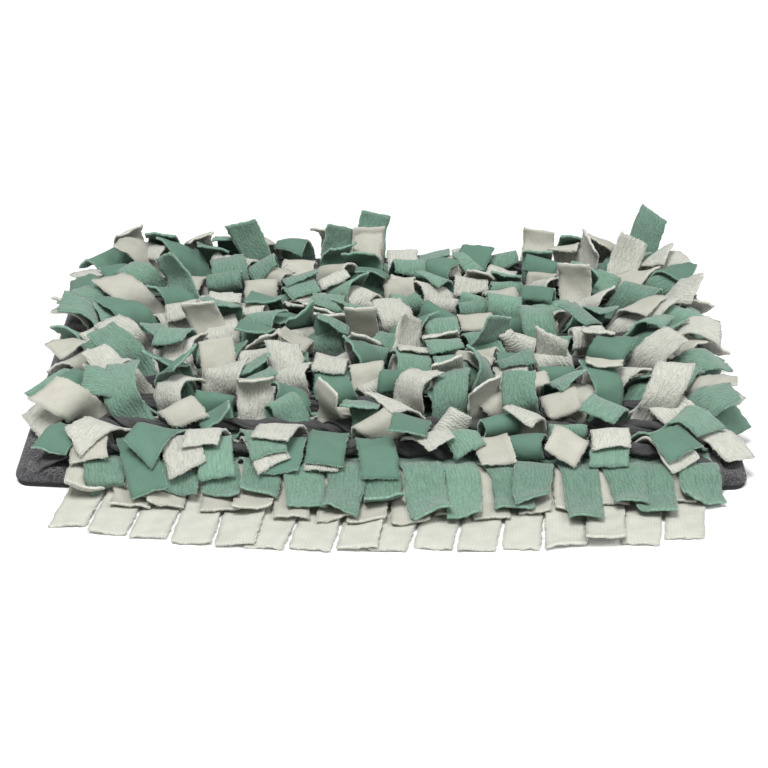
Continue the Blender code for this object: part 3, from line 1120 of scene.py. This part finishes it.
def pad_piece(top_material, base_material):
    """The pad: a plush top over a dark base, joined by a seam around the edge; the base's band carries painted shade
    under the plush.
    """
    bm = bmesh.new()
    columns = 150
    grid = []
    for y in spaced(PAD_HIGH.y, 120, 1.7):
        line = []
        for x in spaced(half_length(y), columns, 1.6):
            swell = (-PAD_HIGH.y - PAD_LOW.y) * (1 - (x / PAD_HIGH.x) ** 2)
            swell *= max(0.0, 1 - (y + PAD_HIGH.y) / 0.03)
            line.append(bm.verts.new((x, y - swell, pad_top(x, y))))
        grid.append(line)
    for near, far in zip(grid, grid[1:]):
        for m in range(columns):
            bm.faces.new((near[m], near[m + 1], far[m + 1], far[m])).smooth = True
    rim = grid[0] + [line[-1] for line in grid[1:]] + grid[-1][-2::-1] + [line[0] for line in grid[-2:0:-1]]
    outline = [vert.co.copy() for vert in rim]
    count = len(rim)
    above = rim
    for inset, height in PAD_BAND:
        below = []
        for i, point in enumerate(outline):
            along = (outline[(i + 2) % count] - outline[i - 2]).normalized()
            inward = Vector((-along.y, along.x, 0.0)) * inset
            below.append(bm.verts.new((point.x + inward.x, point.y + inward.y, height)))
        for i in range(count):
            k = (i + 1) % count
            made = bm.faces.new((above[i], below[i], below[k], above[k]))
            made.material_index = 1
            made.smooth = True
        above = below
    bm.faces.new(reversed(above)).material_index = 1
    obj = new_piece("pad_plush", bm, [top_material, base_material])
    attach(obj, "charcoal_plush", "pad")
    return obj


# ---------------------------------------------------------------- operators


class SewTabs(bpy.types.Operator):
    """Cut, gather and settle the fleece tabs, and sew them to their strips"""

    bl_idname = "snuffle.sew_tabs"
    bl_label = "Fleece tabs"

    def execute(self, context):
        sizes = context.scene.mat_sizes
        colours = context.scene.mat_colours
        tabs = cut_tabs(sizes)
        settle(tabs, sizes)
        green = fleece_set("green", tuple(colours.green), 0.44, 1.6, tuple(colours.smooth_green))
        cream = fleece_set("cream", tuple(colours.cream), 0.20, 1.25, tuple(colours.smooth_cream))
        # The fringe's plain face is painted light: a tenth over the cream colour, where it lies open on the floor
        fringe = fleece_set("fringe", tuple(colours.cream), 0.20, 1.25, tinted(colours.cream, 1.10))
        comb("front_fringe", "fringe", 0, tabs, sizes, fringe, "cream_fleece")
        for row in range(ROWS):
            comb(f"cream_comb_{row + 1:02d}", "cream", row, tabs, sizes, cream, "cream_fleece")
            comb(f"green_comb_{row + 1:02d}", "green", row, tabs, sizes, green, "green_fleece")
        return {"FINISHED"}


class TwistRopes(bpy.types.Operator):
    """Roll, twist and sew down a rope over each row"""

    bl_idname = "snuffle.twist_ropes"
    bl_label = "Ropes"

    def execute(self, context):
        sizes = context.scene.mat_sizes
        charcoal = brushed_fleece("charcoal_brushed", tuple(context.scene.mat_colours.charcoal), 0.5, 0.1)
        for row in range(ROWS):
            rope(row, sizes, charcoal)
        return {"FINISHED"}


class FillPad(bpy.types.Operator):
    """Make the plush pad under the rows"""

    bl_idname = "snuffle.fill_pad"
    bl_label = "Pad"

    def execute(self, context):
        colour = tuple(context.scene.mat_colours.plush)
        pad_piece(plush("plush_pile", colour), base_and_shade("base_cloth_and_shade", colour))
        return {"FINISHED"}


def soft_light(name, place, size, power):
    light = bpy.data.lights.new(name, "AREA")
    light.energy = power
    light.shape = "DISK"
    light.size = size
    obj = bpy.data.objects.new(name, light)
    obj.location = place
    obj.rotation_euler = (-Vector(place)).to_track_quat("-Z", "Y").to_euler()
    bpy.context.scene.collection.objects.link(obj)


class SetStage(bpy.types.Operator):
    """Lay the floor and set up the soft light and the camera"""

    bl_idname = "snuffle.set_stage"
    bl_label = "Stage"

    def execute(self, context):
        scene = context.scene
        bpy.ops.object.select_all(action="DESELECT")
        bpy.ops.mesh.primitive_plane_add(size=9.0)
        floor = context.object
        floor.name = "floor"
        colour = tuple(scene.mat_colours.floor)

        def make(start):
            place = start.node("ShaderNodeTexCoord", None, None, "Object")
            return {"Base Color": place.speckle(3.0).blend(tinted(colour, 0.99), tinted(colour, 1.01))}

        floor.data.materials.append(finished("pale_floor", {"Roughness": 0.9}, make))
        world = bpy.data.worlds.new("soft_sky")
        world.use_nodes = True
        world.node_tree.nodes["Background"].inputs["Color"].default_value = (1.0, 1.0, 1.0, 1.0)
        world.node_tree.nodes["Background"].inputs["Strength"].default_value = 0.38
        scene.world = world
        soft_light("key", (-0.7, -2.2, 5.4), 2.4, 330)
        soft_light("fill", (2.8, -2.8, 4.2), 2.8, 120)
        target = Vector((0.001, -0.02, 0.0))
        distance = 2.2
        elevation = math.radians(27.6)
        azimuth = math.radians(-0.6)
        towards = Vector(
            (
                -math.sin(azimuth) * math.cos(elevation),
                -math.cos(azimuth) * math.cos(elevation),
                math.sin(elevation),
            )
        )
        camera = bpy.data.objects.new("camera", bpy.data.cameras.new("camera"))
        camera.data.lens = 98.8
        camera.data.sensor_width = 36.0
        camera.location = target + towards * distance
        camera.rotation_euler = (-towards).to_track_quat("-Z", "Y").to_euler()
        scene.collection.objects.link(camera)
        scene.camera = camera
        scene.view_settings.view_transform = "Standard"
        return {"FINISHED"}


class MatPanel(bpy.types.Panel):
    """The mat's sizes, colours and steps"""

    bl_idname = "VIEW3D_PT_snuffle_mat"
    bl_label = "Snuffle mat"
    bl_space_type = "VIEW_3D"
    bl_region_type = "UI"
    bl_category = "Mat"

    def draw(self, context):
        for group in (context.scene.mat_sizes, context.scene.mat_colours):
            for name in group.__annotations__:
                self.layout.prop(group, name)
        for step in STEPS:
            self.layout.operator(step.bl_idname)


STEPS = (FillPad, TwistRopes, SewTabs, SetStage)
CLASSES = (MatSizes, MatColours, *STEPS, MatPanel)


def register():
    for cls in CLASSES:
        bpy.utils.register_class(cls)
    bpy.types.Scene.mat_sizes = PointerProperty(type=MatSizes)
    bpy.types.Scene.mat_colours = PointerProperty(type=MatColours)


def unregister():
    del bpy.types.Scene.mat_colours
    del bpy.types.Scene.mat_sizes
    for cls in reversed(CLASSES):
        bpy.utils.unregister_class(cls)


def main():
    register()
    bpy.ops.snuffle.fill_pad()
    bpy.ops.snuffle.twist_ropes()
    bpy.ops.snuffle.sew_tabs()
    bpy.ops.snuffle.set_stage()


if __name__ == "__main__":
    main()
